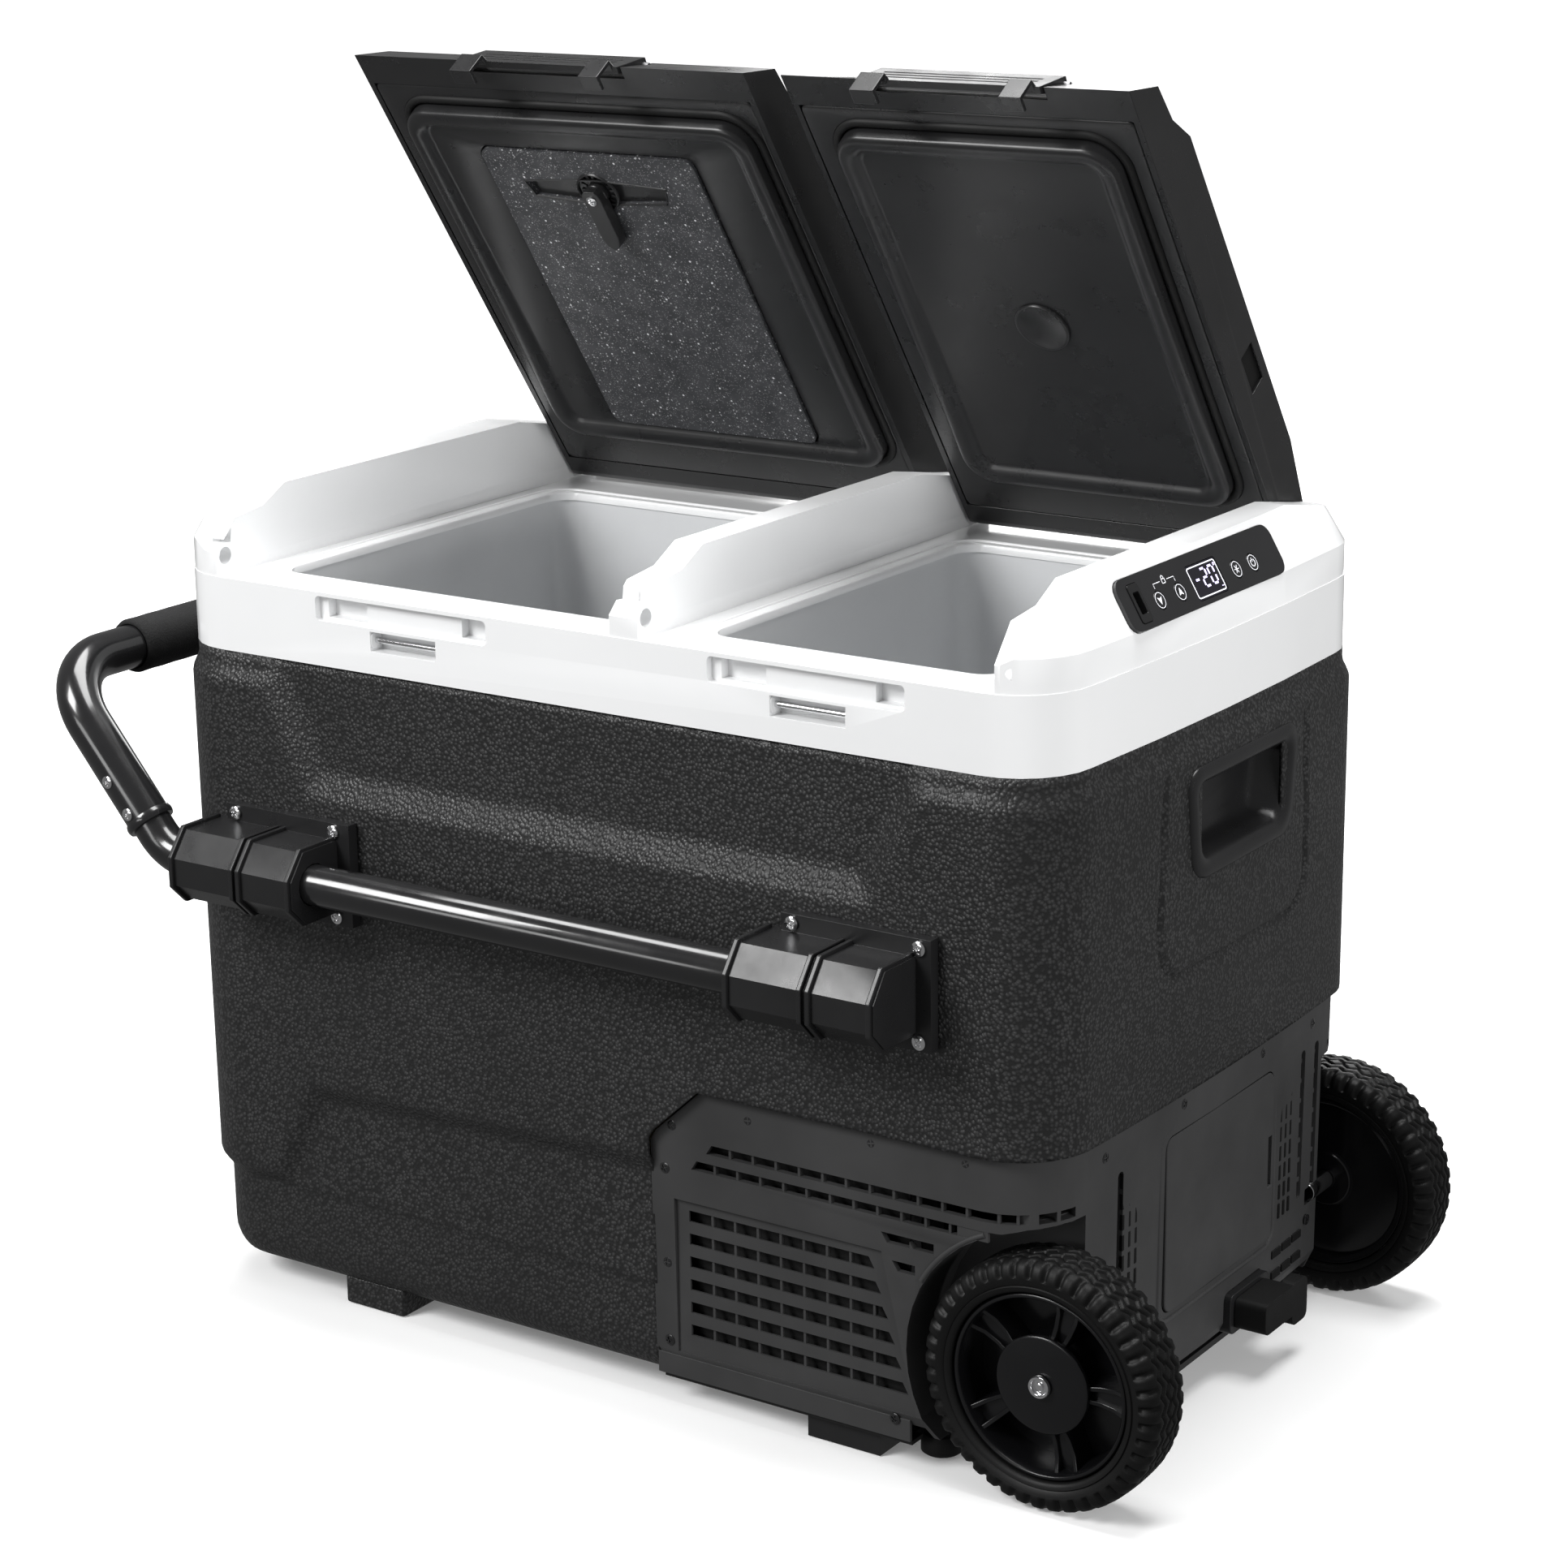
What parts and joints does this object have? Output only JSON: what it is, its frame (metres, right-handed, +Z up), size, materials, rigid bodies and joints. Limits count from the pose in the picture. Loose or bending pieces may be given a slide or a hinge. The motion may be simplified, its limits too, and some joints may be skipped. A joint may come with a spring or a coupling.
{
  "type": "compressor cooler fridge",
  "caption": "Wheeled compressor cooler fridge for a vehicle, with hinged lids over separate tubs, a tow handle that slides out, a control panel and a battery bay.",
  "frame": {"origin": "middle of the whole object's box, on the floor under the feet and wheels, with both lids standing open", "axes": "+Z up; +X towards the wheels and the control panel; -Y towards the front, where the lid latches are; the tow handle's grip is at -X"},
  "size_m": [0.7826, 0.494, 0.7724],
  "materials": {
    "body_black": "matte",
    "trim_black": "satin",
    "frame_white": "gloss",
    "liner_plastic": "satin",
    "insulation": "matte",
    "gasket_rubber": "matte",
    "grip_foam": "matte",
    "tube_black": "satin",
    "chrome": "polished",
    "steel": "satin",
    "pot_black": "satin",
    "coil_aluminium": "satin",
    "speckled_board": "matte",
    "panel_gloss": "gloss",
    "display_glass": "gloss",
    "circuit_green": "satin",
    "tyre_black": "matte",
    "hub_black": "satin"
  },
  "bodies": {
    "cabinet": {"outer_shell": "body_black", "insulation_foam": "insulation", "left_tub_liner": "liner_plastic", "right_tub_liner": "liner_plastic", "left_carry_pocket": "trim_black", "right_carry_pocket": "trim_black", "top_frame": "frame_white", "left_striker_rod": "chrome", "right_striker_rod": "chrome", "left_hinge_pin_1": "steel", "left_hinge_pin_2": "steel", "right_hinge_pin_1": "steel", "right_hinge_pin_2": "steel", "panel_fascia": "panel_gloss", "display_window": "display_glass", "usb_socket": "trim_black", "control_board": "circuit_green", "front_left_bracket": "trim_black", "front_right_bracket": "trim_black", "rear_left_bracket": "trim_black", "rear_right_bracket": "trim_black", "compressor_cover": "trim_black", "base_plate": "trim_black", "compressor": "pot_black", "condenser": "coil_aluminium", "fan_shroud": "trim_black", "battery_pack": "trim_black", "power_inlet": "trim_black", "front_wheel_axle_bolt": "chrome", "rear_wheel_axle_bolt": "chrome"},
    "left_lid": {"left_lid_shell": "trim_black", "left_lid_foam": "insulation", "left_lid_panel": "trim_black", "left_lid_gasket": "gasket_rubber", "left_latch_pin": "steel"},
    "right_lid": {"right_lid_shell": "trim_black", "right_lid_foam": "insulation", "right_lid_panel": "trim_black", "right_lid_gasket": "gasket_rubber", "right_latch_pin": "steel", "right_lid_plug": "trim_black"},
    "left_latch_flap": {"left_latch": "trim_black"},
    "right_latch_flap": {"right_latch": "trim_black"},
    "board": {"cutting_board": "speckled_board"},
    "lever": {"board_lever": "trim_black"},
    "tow_handle": {"handle_tube_front": "tube_black", "handle_tube_rear": "tube_black", "handle_hoop": "tube_black", "foam_grip": "grip_foam"},
    "front_wheel": {"front_wheel_tyre": "tyre_black", "front_wheel_hub": "hub_black"},
    "rear_wheel": {"rear_wheel_tyre": "tyre_black", "rear_wheel_hub": "hub_black"},
    "battery_hatch": {"battery_door": "trim_black"},
    "inlet_cap": {"power_inlet_cap": "gasket_rubber"},
    "fan": {"fan_rotor": "trim_black"},
    "down_key": {"down_button": "panel_gloss"},
    "up_key": {"up_button": "panel_gloss"},
    "set_key": {"set_button": "panel_gloss"},
    "power_key": {"power_button": "panel_gloss"}
  },
  "joints": [
    {"name": "left_lid_hinge", "type": "hinge", "parent": "cabinet", "child": "left_lid", "pos_m": [-0.11625, 0.168, 0.478], "axis": [-1, 0, 0], "range_deg": [-55, 35]},
    {"name": "right_lid_hinge", "type": "hinge", "parent": "cabinet", "child": "right_lid", "pos_m": [0.169, 0.168, 0.478], "axis": [-1, 0, 0], "range_deg": [-55, 35]},
    {"name": "left_latch_hinge", "type": "hinge", "parent": "left_lid", "child": "left_latch_flap", "pos_m": [-0.11975, -0.02173, 0.76815], "axis": [-1, 0, 0], "range_deg": [0, 60]},
    {"name": "right_latch_hinge", "type": "hinge", "parent": "right_lid", "child": "right_latch_flap", "pos_m": [0.16725, -0.02173, 0.76815], "axis": [-1, 0, 0], "range_deg": [0, 60]},
    {"name": "board_slide", "type": "slide", "parent": "left_lid", "child": "board", "axis": [0, -0.8192, -0.5736], "range_m": [0, 0.25]},
    {"name": "lever_turn", "type": "hinge", "parent": "board", "child": "lever", "pos_m": [-0.11375, 0.00478, 0.68844], "axis": [0, -0.8192, -0.5736], "range_deg": [0, 90]},
    {"name": "handle_slide", "type": "slide", "parent": "cabinet", "child": "tow_handle", "axis": [-1, 0, 0], "range_m": [0, 0.25]},
    {"name": "front_wheel_spin", "type": "hinge", "parent": "cabinet", "child": "front_wheel", "pos_m": [0.31625, -0.177, 0.075], "axis": [0, 1, 0], "continuous": true},
    {"name": "rear_wheel_spin", "type": "hinge", "parent": "cabinet", "child": "rear_wheel", "pos_m": [0.31625, 0.177, 0.075], "axis": [0, 1, 0], "continuous": true},
    {"name": "battery_door_hinge", "type": "hinge", "parent": "cabinet", "child": "battery_hatch", "pos_m": [0.32375, -0.061, 0.1235], "axis": [0, 0, -1], "range_deg": [0, 100]},
    {"name": "inlet_cap_pull", "type": "slide", "parent": "cabinet", "child": "inlet_cap", "axis": [1, 0, 0], "range_m": [0, 0.03]},
    {"name": "fan_spin", "type": "hinge", "parent": "cabinet", "child": "fan", "pos_m": [0.13625, -0.106, 0.11], "axis": [0, 1, 0], "continuous": true},
    {"name": "down_press", "type": "slide", "parent": "cabinet", "child": "down_key", "axis": [-0.8625, 0, -0.506], "range_m": [0, 0.0006], "stiffness_N_per_m": 900},
    {"name": "up_press", "type": "slide", "parent": "cabinet", "child": "up_key", "axis": [-0.8625, 0, -0.506], "range_m": [0, 0.0006], "stiffness_N_per_m": 900},
    {"name": "set_press", "type": "slide", "parent": "cabinet", "child": "set_key", "axis": [-0.8625, 0, -0.506], "range_m": [0, 0.0006], "stiffness_N_per_m": 900},
    {"name": "power_press", "type": "slide", "parent": "cabinet", "child": "power_key", "axis": [-0.8625, 0, -0.506], "range_m": [0, 0.0006], "stiffness_N_per_m": 900}
  ]
}
